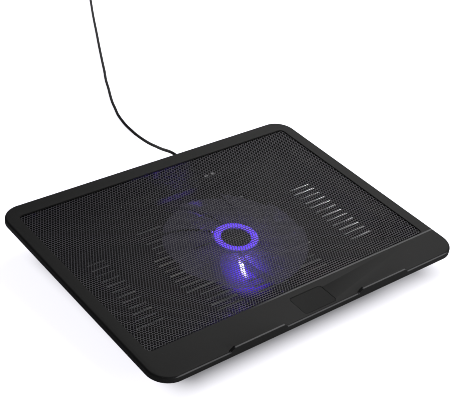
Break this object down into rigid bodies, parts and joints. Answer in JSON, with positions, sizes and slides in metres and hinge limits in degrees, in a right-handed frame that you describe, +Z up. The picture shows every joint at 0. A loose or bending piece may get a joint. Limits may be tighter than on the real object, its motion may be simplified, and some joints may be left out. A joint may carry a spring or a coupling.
{
  "type": "laptop cooling pad",
  "caption": "Slim laptop cooling pad with a perforated top, one large lit fan, front laptop stops, a flip-out rear stand and a free USB lead.",
  "frame": {"origin": "on the table, at the middle of the pad's footprint", "axes": "+Z up from the table, +Y towards the raised back edge, +X to the user's right along the front edge"},
  "size_m": [0.4678, 0.857, 0.0434],
  "materials": {
    "frame": "fine moulded texture",
    "mesh": "black powder coat, perforated",
    "badge": "smooth dark insert",
    "tray": "fine moulded texture",
    "screw": "zinc plated",
    "foot_rubber": "soft matt rubber",
    "pin_steel": "ground steel",
    "stand": "fine moulded texture",
    "motor_base": "moulded",
    "circuit_board": "solder mask",
    "light": "blue light emitter",
    "laminations": "stacked electrical steel",
    "copper": "enamelled copper wire",
    "bronze": "sintered bronze",
    "nylon": "natural nylon",
    "rotor": "smoke tinted clear plastic",
    "hub_cap": "plain dark label disc",
    "yoke": "drawn steel",
    "magnet": "bonded ferrite",
    "lead": "soft cable jacket",
    "clip": "natural plastic",
    "clip_black": "moulded",
    "plug": "overmould",
    "plug_shell": "nickel plated steel",
    "plug_tongue": "white insulator"
  },
  "bodies": {
    "pad": {"top_frame": "frame", "mesh_panel": "mesh", "badge_plate": "badge", "base_tray": "tray", "case_screws": "screw", "front_feet": "foot_rubber", "rear_feet": "foot_rubber", "hinge_pins": "pin_steel", "fan_mount": "motor_base", "fan_screws": "screw", "fan_pcb": "circuit_board", "light_emitters": "light", "stator_core": "laminations", "stator_coils": "copper", "bearing_sleeve": "bronze", "thrust_pad": "nylon", "inner_lead": "lead", "lead_clips": "clip", "lead_clamp": "clip_black", "clamp_screws": "screw", "strain_relief": "lead", "usb_cord": "lead", "plug_relief": "plug", "plug_body": "plug", "plug_shell": "plug_shell", "plug_tongue": "plug_tongue"},
    "rotor": {"fan_rotor": "rotor", "hub_cap": "hub_cap", "rotor_yoke": "yoke", "rotor_magnet": "magnet", "fan_shaft": "pin_steel", "retaining_washer": "nylon"},
    "stand": {"stand_leg": "stand", "stand_pad": "foot_rubber"}
  },
  "joints": [
    {"name": "fan_spin", "type": "hinge", "parent": "pad", "child": "rotor", "pos_m": [0, -0.00658, 0.01227], "axis": [0, -0.0904, 0.9959], "continuous": true},
    {"name": "stand_fold", "type": "hinge", "parent": "pad", "child": "stand", "pos_m": [0.015, 0.09144, 0.02198], "axis": [1, 0, 0], "range_deg": [0, 98]}
  ]
}
